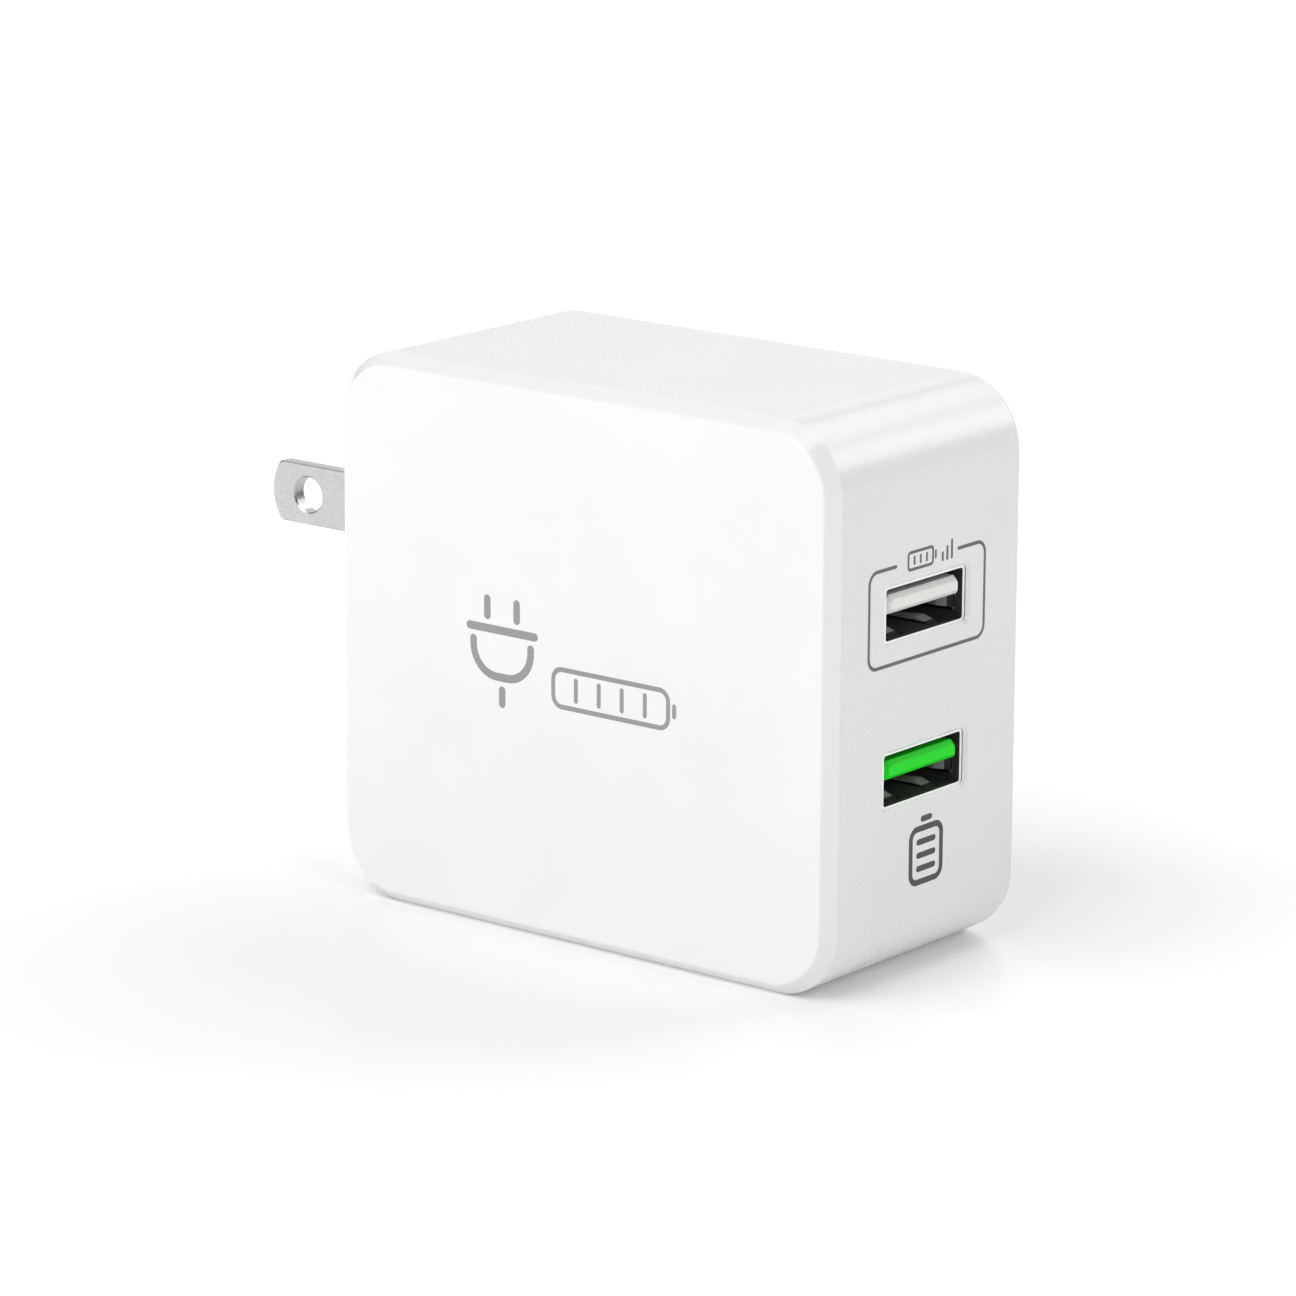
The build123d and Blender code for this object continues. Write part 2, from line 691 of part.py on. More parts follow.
def disc_capacitor():
    """Round disc on two legs, its axis along X."""
    disc = Pos(DISC_X, Y_BOARD - DISC_LIFT, DISC_Z) * Rot(0, 90, 0) * Cylinder(DISC_RADIUS, DISC_THICKNESS)
    disc = fillet(disc.edges(), DISC_EDGE)
    half = DISC_LEG / 2
    for z in (DISC_Z - DISC_LEG_SPREAD, DISC_Z + DISC_LEG_SPREAD):
        leg = block(DISC_X - half, DISC_X + half, Y_BOARD - DISC_LIFT / 2, Y_BOARD, z - half, z + half)
        disc = disc + leg
    return disc


def link_pin(z):
    """Right-angle pin from the port board into the main board."""
    x0 = X_SHELL_BACK
    x1 = X_SHELL_BACK + LINK_PIN_REACH
    y0 = Y_BOARD - LINK_PIN_LIFT
    half = LINK_PIN / 2
    arm = block(x0, x1, y0, y0 + LINK_PIN, z - half, z + half)
    return arm + block(x1 - LINK_PIN, x1, y0, Y_BOARD, z - half, z + half)


def ring(inner, outer, length):
    """Ring about Z at the choke's place."""
    place = Pos(CHOKE_X, Y_BOARD - CHOKE_LIFT, CHOKE_Z)
    return place * (Cylinder(outer, length) - Cylinder(inner, length + OVERCUT))


def choke():
    """Common-mode choke: ferrite ring over the board with two coils round it."""
    mid_y = Y_BOARD - CHOKE_LIFT
    core = ring(*CHOKE_RING)
    coils = []
    for side in (-1, 1):
        near, far = sorted((CHOKE_X + side * CHOKE_GAP, CHOKE_X + side * 2 * CHOKE_COIL[1]))
        keep = block(
            near,
            far,
            mid_y - CHOKE_COIL[1] - OVERCUT,
            mid_y + CHOKE_COIL[1] + OVERCUT,
            CHOKE_Z - CHOKE_COIL_HALF_SPAN,
            CHOKE_Z + CHOKE_COIL_HALF_SPAN,
        )
        coils.append((ring(*CHOKE_COIL) - core) & keep)
    return core, coils


def wire(points, radius):
    """Round wire through the given points, with ball joints at the bends."""
    body = None
    for start, end in zip(points[:-1], points[1:]):
        path = Edge.make_line(start, end)
        plane = Plane(origin=start, z_dir=path.tangent_at(0))
        leg = extrude(plane * Circle(radius), path.length)
        body = leg if body is None else body + leg
    for point in points[1:-1]:
        body = body + Pos(*point) * Sphere(radius)
    return body


def save(name, shape):
    """Write one node."""
    export_step(shape, os.path.join("parts", name + ".step"))


os.makedirs("parts", exist_ok=True)

save("rear_housing", rear_housing())
save("front_cover", front_cover())

blades = {y: blade(y) for y in (-BLADE_SPACING / 2, BLADE_SPACING / 2)}
save("prong_blade_front", blades[-BLADE_SPACING / 2])
save("prong_blade_rear", blades[BLADE_SPACING / 2])
save("prong_carrier", prong_carrier(blades))
save("prong_cradle", prong_cradle())
save("prong_retainer", prong_retainer())
save("contact_spring_front", leaf_spring(-BLADE_SPACING / 2, CONTACT_SPRING_WIDTH))
save("contact_spring_rear", leaf_spring(BLADE_SPACING / 2, CONTACT_SPRING_WIDTH))
save("brake_spring", leaf_spring(0.0, BRAKE_SPRING_WIDTH))

for place, height in PORT_HEIGHTS.items():
    save("usb_shell_" + place, usb_shell(height))
    save("usb_tongue_" + place, usb_tongue(height))
    save("usb_contacts_" + place, usb_contacts(height))

save("main_board", main_board())
port_board = block(
    X_PORT_BOARD,
    X_SHELL_BACK,
    PORT_BOARD_FRONT_Y,
    Y_BOARD,
    PORT_BOARD_BOTTOM_Z,
    PORT_BOARD_TOP_Z,
)
save("port_board", port_board)
barrier = block(
    X_BARRIER,
    X_BARRIER + BARRIER_THICKNESS,
    PORT_BOARD_FRONT_Y,
    Y_BOARD,
    PORT_BOARD_BOTTOM_Z,
    PORT_BOARD_TOP_Z,
)
save("insulating_barrier", barrier)

save("transformer_core_top", transformer_core(1))
save("transformer_core_bottom", transformer_core(-1))
bobbin, winding, tape = transformer()
save("transformer_bobbin", bobbin)
save("transformer_winding", winding)
save("transformer_tape", tape)

for name, cans in BOARD_CANS.items():
    save(name, Compound([on_board_can(*can) for can in cans]))
for name, box in BOARD_BOXES.items():
    save(name, on_board_box(*box))
save("heatsink", block(*HEATSINK_X, Y_BOARD - HEATSINK_HEIGHT, Y_BOARD, *HEATSINK_Z))
save("fuse", rod_z(FUSE_X, Y_BOARD - FUSE_RADIUS, FUSE_RADIUS, *FUSE_Z))
save("y_capacitor", disc_capacitor())

choke_core, choke_coils = choke()
save("choke_core", choke_core)
save("choke_windings", Compound(choke_coils))

lead_z = SPRING_TOP_Z + LEAD_RADIUS
leads = []
for y in (-BLADE_SPACING / 2, BLADE_SPACING / 2):
    route = [(X_SPRING + LEAD_START, y, lead_z), (X_LEAD_DROP, y, lead_z), (X_LEAD_DROP, Y_BOARD, lead_z)]
    leads.append(wire(route, LEAD_RADIUS))
save("mains_leads", Compound(leads))
save("board_link_pins", Compound([link_pin(z) for z in LINK_PIN_HEIGHTS]))
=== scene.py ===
import json
import math

import bmesh
import bpy
from mathutils import Matrix, Vector


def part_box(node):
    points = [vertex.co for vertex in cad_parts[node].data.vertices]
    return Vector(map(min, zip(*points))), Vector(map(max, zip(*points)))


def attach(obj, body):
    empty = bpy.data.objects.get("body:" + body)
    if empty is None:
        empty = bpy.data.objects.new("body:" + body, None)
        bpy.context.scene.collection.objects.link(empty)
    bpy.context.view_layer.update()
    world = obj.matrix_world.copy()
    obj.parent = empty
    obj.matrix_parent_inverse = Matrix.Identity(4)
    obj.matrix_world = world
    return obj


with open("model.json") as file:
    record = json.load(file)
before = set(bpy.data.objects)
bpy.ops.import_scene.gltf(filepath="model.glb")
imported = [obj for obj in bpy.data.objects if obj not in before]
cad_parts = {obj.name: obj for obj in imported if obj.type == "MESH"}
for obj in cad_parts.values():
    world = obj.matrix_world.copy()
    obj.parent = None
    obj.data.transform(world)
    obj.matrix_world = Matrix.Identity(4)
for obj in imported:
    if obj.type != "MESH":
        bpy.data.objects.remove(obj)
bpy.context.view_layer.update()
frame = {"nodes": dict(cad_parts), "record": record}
NODES = frame["nodes"]
MM = 0.001


def new_object(name, data):
    """An object with the given data, linked to the scene."""
    made = bpy.data.objects.new(name, data)
    bpy.context.scene.collection.objects.link(made)
    return made


# ---------------------------------------------------------------- materials

# Nearly all of a noise texture's output lies in this band.
NOISE_LOW, NOISE_HIGH = 0.3, 0.7

# Noise scales, in waves per metre.
PLASTIC_DRIFT_WAVES = 60.0
METAL_DRIFT_WAVES = 150.0
METAL_GRAIN_WAVES = 12000.0
PLATING_WAVES = 600.0
WIRE_WAVES = 4000.0
FILM_WAVES = 5000.0
MASK_WAVES = 3000.0
INK_PATCH_WAVES = 2500.0
INK_TOOTH_WAVES = 14000.0

# A wave texture of scale 1 turns through this many radians in a metre.
WAVE_RATE = 20

# Circuit boards: the scale of the pattern, the share of it that is clearance, the height of a
# track in millimetres, and the values of two neighbouring tracks and of the gap between them.
TRACKS_PER_METRE = 120.0
TRACK_CLEARANCE = 0.06
TRACK_HEIGHT = 0.04
FIRST_TRACK = (1.0, 1.0, 1.0, 1.0)
SECOND_TRACK = (0.55, 0.55, 0.55, 1.0)
NO_TRACK = (0.0, 0.0, 0.0, 1.0)

# Port shells, in millimetres: the sheet, how far the fingers' tips stand out past the walls, how
# far in from the walls a finger is painted lighter, and the painted highlight strip along the front edge.
SHELL_SHEET = 0.3
FINGER_TIP_DROP = 0.1
FINGER_STAND = 0.1
SHELL_HIGHLIGHT_WIDTH = 0.05
# Painted shade: the shell is coloured dark all over, standing for the shade inside the port.
SHELL_PAINTED_SHADE = (0.06, 0.057, 0.06)
# Painted light: the fingers are painted lighter, standing for the light they catch.
SHELL_FINGER_LIGHT = (0.40, 0.375, 0.40)
# Painted highlight along the shell's front edge.
SHELL_EDGE_HIGHLIGHT = (1.0, 1.0, 1.0)
SHELL_ROUGHNESS = 0.45
SHELL_METALLIC = 0.15
SHELL_GLOSS = 0.1


def node_material(name):
    """An empty node material with a Principled shader."""
    material = bpy.data.materials.new(name)
    material.use_nodes = True
    tree = material.node_tree
    shader = tree.nodes["Principled BSDF"]
    return material, tree, shader


def add(tree, kind, **values):
    """A node with some of its sockets or properties set."""
    node = tree.nodes.new(kind)
    for key, value in values.items():
        if key in node.inputs:
            node.inputs[key].default_value = value
        else:
            setattr(node, key, value)
    return node


def object_coords(tree, stretch=(1.0, 1.0, 1.0)):
    """Object coordinates in metres, stretched along the axes."""
    coords = add(tree, "ShaderNodeTexCoord")
    mapping = add(tree, "ShaderNodeMapping")
    mapping.inputs["Scale"].default_value = stretch
    tree.links.new(coords.outputs["Object"], mapping.inputs["Vector"])
    return mapping.outputs["Vector"]


def noise(tree, coords, scale, detail=3.0, roughness=0.5):
    """Noise at the given number of waves per metre."""
    node = add(tree, "ShaderNodeTexNoise", Scale=scale, Detail=detail, Roughness=roughness)
    tree.links.new(coords, node.inputs["Vector"])
    return node.outputs["Fac"]


def spread(tree, value, low, high):
    """Stretches or squeezes the middle band of a noise to the given values."""
    node = add(tree, "ShaderNodeMapRange")
    node.inputs["From Min"].default_value = NOISE_LOW
    node.inputs["From Max"].default_value = NOISE_HIGH
    node.inputs["To Min"].default_value = low
    node.inputs["To Max"].default_value = high
    tree.links.new(value, node.inputs["Value"])
    return node.outputs["Result"]


def tint(tree, value, dark, light):
    """Colour ramp from a dark shade to a light one."""
    ramp = add(tree, "ShaderNodeValToRGB")
    ramp.color_ramp.elements[0].position = NOISE_LOW
    ramp.color_ramp.elements[0].color = (*dark, 1.0)
    ramp.color_ramp.elements[1].position = NOISE_HIGH
    ramp.color_ramp.elements[1].color = (*light, 1.0)
    tree.links.new(value, ramp.inputs["Fac"])
    return ramp.outputs["Color"]


def set_colour(tree, shader, value, dark, light):
    """Base colour that follows a value from a dark shade to a light one."""
    tree.links.new(tint(tree, value, dark, light), shader.inputs["Base Color"])


def set_roughness(tree, shader, value, low, high):
    """Roughness that follows a value between two levels."""
    tree.links.new(spread(tree, value, low, high), shader.inputs["Roughness"])


def around(middle, share):
    """The levels a share below and above a middle value."""
    return middle * (1 - share), middle * (1 + share)


def mix(tree, factor, first, second):
    """From a socket's colour at factor 0 to a plain colour at factor 1."""
    node = add(tree, "ShaderNodeMix", data_type="RGBA")
    tree.links.new(factor, node.inputs["Factor"])
    tree.links.new(first, node.inputs["A"])
    node.inputs["B"].default_value = (*second, 1.0)
    return node.outputs["Result"]


def bump(tree, shader, height, strength, distance):
    """Bump in metres of depth."""
    node = add(tree, "ShaderNodeBump", Strength=strength, Distance=distance)
    tree.links.new(height, node.inputs["Height"])
    tree.links.new(node.outputs["Normal"], shader.inputs["Normal"])


def shade(colour, factor):
    """A colour made darker or lighter by a factor."""
    return tuple(min(1.0, c * factor) for c in colour)


def plastic(name, colour, roughness, grain=9000.0, depth=0.004, variation=0.03, gloss=0.5):
    """Moulded plastic: faint colour drift, and fine grain in roughness and bump."""
    material, tree, shader = node_material(name)
    coords = object_coords(tree)
    drift = noise(tree, coords, PLASTIC_DRIFT_WAVES)
    fine = noise(tree, coords, grain, detail=4.0)
    set_colour(tree, shader, drift, shade(colour, 1 - variation), colour)
    set_roughness(tree, shader, fine, *around(roughness, share=0.12))
    shader.inputs["Specular IOR Level"].default_value = gloss
    bump(tree, shader, fine, strength=0.35, distance=depth * MM)
    return material


def metal(name, colour, roughness, stretch=(1, 1, 1), depth=0.003, variation=0.12):
    """Plated or rolled metal. A stretch draws its grain out into lines along one axis."""
    material, tree, shader = node_material(name)
    coords = object_coords(tree, stretch)
    fine = noise(tree, coords, METAL_GRAIN_WAVES, detail=5.0, roughness=0.6)
    drift = noise(tree, coords, METAL_DRIFT_WAVES)
    set_colour(tree, shader, drift, shade(colour, 1 - variation), colour)
    set_roughness(tree, shader, fine, *around(roughness, share=0.25))
    shader.inputs["Metallic"].default_value = 1.0
    bump(tree, shader, fine, strength=0.4, distance=depth * MM)
    return material


def bands(tree, coords, axis, pitch, wobble):
    """Even bands across one axis, a pitch apart in millimetres."""
    node = add(tree, "ShaderNodeTexWave", bands_direction=axis, Distortion=wobble, Detail=2.0)
    node.inputs["Scale"].default_value = 2 * math.pi / (WAVE_RATE * pitch * MM)
    tree.links.new(coords, node.inputs["Vector"])
    return node.outputs["Fac"]


def wound_wire(name, colour, axis, pitch):
    """Enamelled wire laid in turns: rounded ridges, with painted shade between the turns."""
    material, tree, shader = node_material(name)
    coords = object_coords(tree)
    turns = bands(tree, coords, axis, pitch, wobble=0.15)
    # Painted shade in the grooves between the turns.
    set_colour(tree, shader, turns, shade(colour, 0.35), colour)
    set_roughness(tree, shader, noise(tree, coords, WIRE_WAVES), 0.22, 0.4)
    shader.inputs["Metallic"].default_value = 1.0
    bump(tree, shader, turns, strength=0.8, distance=pitch * MM / 4)
    return material


def wrapped(name, colour, axis, pitch, roughness):
    """Film wound in overlapping layers: faint steps a pitch apart."""
    material, tree, shader = node_material(name)
    coords = object_coords(tree)
    steps = bands(tree, coords, axis, pitch, wobble=0.6)
    set_colour(tree, shader, steps, shade(colour, 0.82), colour)
    set_roughness(tree, shader, noise(tree, coords, FILM_WAVES), *around(roughness, share=0.2))
    bump(tree, shader, steps, strength=0.3, distance=0.02 * MM)
    return material


def circuit_board(name, mask, trace):
    """Solder mask over copper: slightly raised, lighter tracks between darker clearances."""
    material, tree, shader = node_material(name)
    coords = object_coords(tree)
    tracks = add(tree, "ShaderNodeTexBrick", offset=0.35, Scale=TRACKS_PER_METRE)
    tracks.inputs["Color1"].default_value = FIRST_TRACK
    tracks.inputs["Color2"].default_value = SECOND_TRACK
    tracks.inputs["Mortar"].default_value = NO_TRACK
    tracks.inputs["Mortar Size"].default_value = TRACK_CLEARANCE
    # The pattern is flat in its own X and Y. Turned, it covers X and Z.
    turned = add(tree, "ShaderNodeMapping")
    turned.inputs["Rotation"].default_value = (math.radians(90), 0.0, 0.0)
    tree.links.new(coords, turned.inputs["Vector"])
    tree.links.new(turned.outputs["Vector"], tracks.inputs["Vector"])
    set_colour(tree, shader, tracks.outputs["Color"], mask, trace)
    set_roughness(tree, shader, noise(tree, coords, MASK_WAVES), 0.25, 0.4)
    bump(tree, shader, tracks.outputs["Color"], strength=0.4, distance=TRACK_HEIGHT * MM)
    return material


def above(tree, value, level, soft=0.02):
    """1 where the value, in metres, is over a level given in millimetres, 0 below it."""
    node = add(tree, "ShaderNodeMapRange")
    node.inputs["From Min"].default_value = (level - soft) * MM
    node.inputs["From Max"].default_value = (level + soft) * MM
    tree.links.new(value, node.inputs["Value"])
    return node.outputs["Result"]


def arithmetic(tree, operation, first, second=None):
    """A maths node between two sockets or numbers."""
    node = add(tree, "ShaderNodeMath", operation=operation)
    for socket, value in zip(node.inputs, (first, second)):
        if isinstance(value, bpy.types.NodeSocket):
            tree.links.new(value, socket)
        elif value is not None:
            socket.default_value = value
    return node.outputs["Value"]


def port_shell(node):
    """Tin-plated shell with painted shade inside, a painted highlight along its front edge and its
    fingers painted lighter, standing for the light they catch.
    """
    material, tree, shader = node_material("port_shell_" + node.rsplit("_", 1)[1])
    low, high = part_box(node)
    middle = [(a + b) / 2 for a, b in zip(low, high)]
    half_width = (high[1] - low[1]) / 2 / MM - FINGER_TIP_DROP - SHELL_SHEET
    half_height = (high[2] - low[2]) / 2 / MM - FINGER_TIP_DROP - SHELL_SHEET
    coords = object_coords(tree)
    axes = add(tree, "ShaderNodeSeparateXYZ")
    tree.links.new(coords, axes.inputs["Vector"])
    across = arithmetic(tree, "ABSOLUTE", arithmetic(tree, "SUBTRACT", axes.outputs["Y"], middle[1]))
    upward = arithmetic(tree, "ABSOLUTE", arithmetic(tree, "SUBTRACT", axes.outputs["Z"], middle[2]))
    clear = arithmetic(
        tree,
        "MULTIPLY",
        arithmetic(tree, "SUBTRACT", 1.0, above(tree, across, half_width - FINGER_STAND)),
        arithmetic(tree, "SUBTRACT", 1.0, above(tree, upward, half_height - FINGER_STAND)),
    )
    fingers = arithmetic(tree, "MULTIPLY", clear, above(tree, axes.outputs["X"], middle[0] / MM))
    # Painted highlight: a white strip along the shell's front edge.
    highlight_rim = above(tree, axes.outputs["X"], high[0] / MM - SHELL_HIGHLIGHT_WIDTH)
    # Painted shade over the whole shell, with a faint random drift.
    shaded_plating = tint(tree, noise(tree, coords, PLATING_WAVES), shade(SHELL_PAINTED_SHADE, 0.75), SHELL_PAINTED_SHADE)
    # Painted light: the fingers are lighter than the painted shade around them.
    lit_fingers = mix(tree, fingers, shaded_plating, SHELL_FINGER_LIGHT)
    tree.links.new(mix(tree, highlight_rim, lit_fingers, SHELL_EDGE_HIGHLIGHT), shader.inputs["Base Color"])
    grain_coords = object_coords(tree, (0.1, 1, 1))
    fine = noise(tree, grain_coords, METAL_GRAIN_WAVES, detail=5.0, roughness=0.6)
    set_roughness(tree, shader, fine, *around(SHELL_ROUGHNESS, share=0.25))
    shader.inputs["Metallic"].default_value = SHELL_METALLIC
    shader.inputs["Specular IOR Level"].default_value = SHELL_GLOSS
    bump(tree, shader, fine, strength=0.4, distance=0.003 * MM)
    return material


MATERIALS = {
    "housing_white": plastic("housing_white", (0.82, 0.82, 0.82), 0.27),
    "cover_white": plastic("cover_white", (0.85, 0.85, 0.85), 0.16, grain=900.0, depth=0.002),
    "plug_plastic": plastic("plug_plastic", (0.74, 0.74, 0.73), 0.42),
    "blade_nickel": metal("blade_nickel", (0.54, 0.54, 0.535), 0.3, stretch=(0.12, 1, 1), variation=0.05),
    "spring_bronze": metal("spring_bronze", (0.62, 0.38, 0.18), 0.35),
    "spring_steel": metal("spring_steel", (0.5, 0.5, 0.5), 0.35),
    "tongue_white": plastic("tongue_white", (0.84, 0.84, 0.815), 0.4),
    "tongue_green": plastic("tongue_green", (0.012, 0.80, 0.02), 0.4, gloss=0.15),
    "contact_gold": metal("contact_gold", (0.85, 0.6, 0.24), 0.25),
    "board_green": circuit_board("board_green", (0.008, 0.07, 0.025), (0.03, 0.2, 0.07)),
    "barrier_sheet": plastic("barrier_sheet", (0.6, 0.6, 0.52), 0.55),
    "ferrite": plastic("ferrite", (0.035, 0.035, 0.038), 0.62, grain=5000.0, depth=0.03, variation=0.35),
    "bobbin_black": plastic("bobbin_black", (0.012, 0.012, 0.012), 0.45),
    "copper_wire": wound_wire("copper_wire", (0.75, 0.3, 0.12), "Z", 0.4),
    "tape_yellow": wrapped("tape_yellow", (0.75, 0.5, 0.03), "Z", 2.6, 0.35),
    "can_sleeve": plastic("can_sleeve", (0.01, 0.015, 0.03), 0.3),
    "output_can": metal("output_can", (0.7, 0.7, 0.72), 0.3),
    "film_yellow": plastic("film_yellow", (0.7, 0.4, 0.03), 0.35),
    "chip_black": plastic("chip_black", (0.012, 0.012, 0.014), 0.55),
    "heatsink_alu": metal("heatsink_alu", (0.65, 0.65, 0.67), 0.4, stretch=(1, 1, 0.05)),
    "fuse_body": plastic("fuse_body", (0.1, 0.02, 0.01), 0.25),
    "disc_blue": plastic("disc_blue", (0.01, 0.06, 0.3), 0.3),
    "lead_sleeve": plastic("lead_sleeve", (0.45, 0.01, 0.01), 0.35),
}

SLOT_OF = {part["node"]: part["material_slot"] for part in frame["record"]["subparts"]}
for name, node in NODES.items():
    finish = port_shell(name) if name.startswith("usb_shell") else MATERIALS[SLOT_OF[name]]
    for slot in node.material_slots:
        slot.material = finish

# ---------------------------------------------------------------- printed marks

# Marks are drawn flat, in millimetres: u runs to the right and v up, from the middle of the
# face's foot. The films stand a little proud of the face and reach a little into it.
INK_PROUD = 0.004 * MM
INK_DEPTH = 0.03 * MM
ARC_STEPS = 10
WELD = 0.001 * MM
INK_ROUGHNESS = 0.45
COVER_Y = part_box("front_cover")[0][1]
PORT_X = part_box("rear_housing")[1][0]
FRONT_FACE = Matrix(((1, 0, 0, 0), (0, 0, -1, COVER_Y), (0, 1, 0, 0), (0, 0, 0, 1)))
PORT_FACE = Matrix(((0, 0, 1, PORT_X), (1, 0, 0, 0), (0, 1, 0, 0), (0, 0, 0, 1)))


def arc(centre, radius, start, end):
    """Points on an arc, angles in degrees, anticlockwise."""
    steps = max(2, round(ARC_STEPS * abs(end - start) / 90))
    turns = [math.radians(start + (end - start) * i / steps) for i in range(steps + 1)]
    return [(centre[0] + radius * math.cos(t), centre[1] + radius * math.sin(t)) for t in turns]


def rounded(u0, u1, v0, v1, radius):
    """Closed outline of a rounded rectangle."""
    return (
        arc((u1 - radius, v1 - radius), radius, 0, 90)
        + arc((u0 + radius, v1 - radius), radius, 90, 180)
        + arc((u0 + radius, v0 + radius), radius, 180, 270)
        + arc((u1 - radius, v0 + radius), radius, 270, 360)
    )


def frame_band(u0, u1, v0, v1, radius, line):
    """Rounded rectangular line: an outer and an inner outline."""
    half = line / 2
    outer = rounded(u0 - half, u1 + half, v0 - half, v1 + half, radius + half)
    inner = rounded(u0 + half, u1 - half, v0 + half, v1 - half, radius - half)
    return [outer, inner]


def stroke(path, line):
    """Outline of a line of even width with round ends along an open path."""
    half = line / 2
    left_side, right_side = [], []
    for i, (u, v) in enumerate(path):
        before = path[max(i - 1, 0)]
        after = path[min(i + 1, len(path) - 1)]
        heading = math.atan2(after[1] - before[1], after[0] - before[0])
        normal = (-math.sin(heading), math.cos(heading))
        left_side.append((u + half * normal[0], v + half * normal[1]))
        right_side.append((u - half * normal[0], v - half * normal[1]))
    first = math.degrees(math.atan2(path[1][1] - path[0][1], path[1][0] - path[0][0]))
    last = math.degrees(math.atan2(path[-1][1] - path[-2][1], path[-1][0] - path[-2][0]))
    end_cap = arc(path[-1], half, last - 90, last + 90)
    start_cap = arc(path[0], half, first + 90, first + 270)
    return right_side[:-1] + end_cap + left_side[-2:0:-1] + start_cap[:-1]


def printed(name, face, outlines, material):
    """A thin film of ink on a face, from closed outlines. An outline inside another is a hole."""
    curve = bpy.data.curves.new(name, "CURVE")
    curve.dimensions = "2D"
    curve.fill_mode = "BOTH"
    curve.extrude = (INK_PROUD + INK_DEPTH) / 2
    for outline in outlines:
        spline = curve.splines.new("POLY")
        spline.points.add(len(outline) - 1)
        for point, (u, v) in zip(spline.points, outline):
            point.co = (u * MM, v * MM, 0, 1)
        spline.use_cyclic_u = True
    flat = bpy.data.objects.new(name + "_outline", curve)
    mesh = bpy.data.meshes.new_from_object(flat)
    bpy.data.objects.remove(flat)
    shape = bmesh.new()
    shape.from_mesh(mesh)
    bmesh.ops.remove_doubles(shape, verts=shape.verts, dist=WELD)
    bmesh.ops.recalc_face_normals(shape, faces=shape.faces)
    bmesh.ops.translate(shape, verts=shape.verts, vec=(0, 0, (INK_PROUD - INK_DEPTH) / 2))
    bmesh.ops.transform(shape, verts=shape.verts, matrix=face)
    shape.to_mesh(mesh)
    shape.free()
    mesh.materials.clear()
    mesh.materials.append(material)
    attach(new_object(name, mesh), "housing")


def ink(name, grey):
    """Grey pad-printed ink: slightly patchy coverage and a fine tooth."""
    colour = (grey, grey, grey)
    material, tree, shader = node_material(name)
    coords = object_coords(tree)
    patch = noise(tree, coords, INK_PATCH_WAVES, detail=4.0, roughness=0.6)
    fine = noise(tree, coords, INK_TOOTH_WAVES)
    set_colour(tree, shader, patch, colour, shade(colour, 1.15))
    set_roughness(tree, shader, fine, *around(INK_ROUGHNESS, share=0.15))
    bump(tree, shader, fine, strength=0.3, distance=0.002 * MM)
    return material


EMBLEM_INK = ink("emblem_ink", 0.27)
PORT_INK = ink("port_ink", 0.11)
LOWER_INK = ink("lower_ink", 0.05)


def plug_glyph(middle, foot, line):
    """Plug seen from the side, set apart by narrow gaps: two pins, a collar, a round-bottomed
    body and a short cord."""
    half_width, corner, pin_offset = 3.7, 3.0, 1.9
    cord_length, collar_height, full_height = 3.1, 7.9, 10.9
    collar_overhang = 0.5
    gap = 1.55 * line
    left, right = middle - half_width, middle + half_width
    body_foot = foot + cord_length
    collar = foot + collar_height
    body = (
        [(left, collar - gap), (left, body_foot + corner)]
        + arc((left + corner, body_foot + corner), corner, 180, 270)[1:]
        + arc((right - corner, body_foot + corner), corner, 270, 360)
        + [(right, collar - gap)]
    )
    outlines = [
        stroke([(left - collar_overhang, collar), (right + collar_overhang, collar)], line),
        stroke(body, line),
        stroke([(middle, foot + line / 2), (middle, body_foot - gap)], line),
    ]
    for pin in (middle - pin_offset, middle + pin_offset):
        outlines.append(stroke([(pin, collar + gap), (pin, foot + full_height)], line))
    return outlines


def level_bars(u0, v0, heights, pitch, line):
    """Upright rounded bars of rising height."""
    return [
        stroke([(u0 + i * pitch, v0 + line / 2), (u0 + i * pitch, v0 + height - line / 2)], line)
        for i, height in enumerate(heights)
    ]


def broken_frame(u0, u1, v0, v1, radius, gap, line):
    """Rounded rectangle with a gap in its top side."""
    path = (
        [(gap[0], v1)]
        + arc((u0 + radius, v1 - radius), radius, 90, 180)
        + arc((u0 + radius, v0 + radius), radius, 180, 270)
        + arc((u1 - radius, v0 + radius), radius, 270, 360)
        + arc((u1 - radius, v1 - radius), radius, 0, 90)
        + [(gap[1], v1)]
    )
    return [stroke(path, line)]


def battery(u0, u1, v0, v1, radius, line, cells, upright):
    """Battery outline with a terminal and its charge cells."""
    outlines = frame_band(u0, u1, v0, v1, radius, line)
    gap = line * 1.5
    mid_u, mid_v = (u0 + u1) / 2, (v0 + v1) / 2
    if upright:
        outlines.append(stroke([(mid_u - line, v1 + gap), (mid_u + line, v1 + gap)], line))
        step = (v1 - v0) / (cells + 1)
        for i in range(cells):
            v = v0 + step * (i + 1)
            outlines.append(stroke([(u0 + gap + line / 2, v), (u1 - gap - line / 2, v)], line))
    else:
        outlines.append(stroke([(u1 + gap, mid_v - line), (u1 + gap, mid_v + line)], line))
        step = (u1 - u0) / (cells + 1)
        for i in range(cells):
            u = u0 + step * (i + 1)
            outlines.append(stroke([(u, v0 + gap + line / 4), (u, v1 - gap - line / 4)], line))
    return outlines


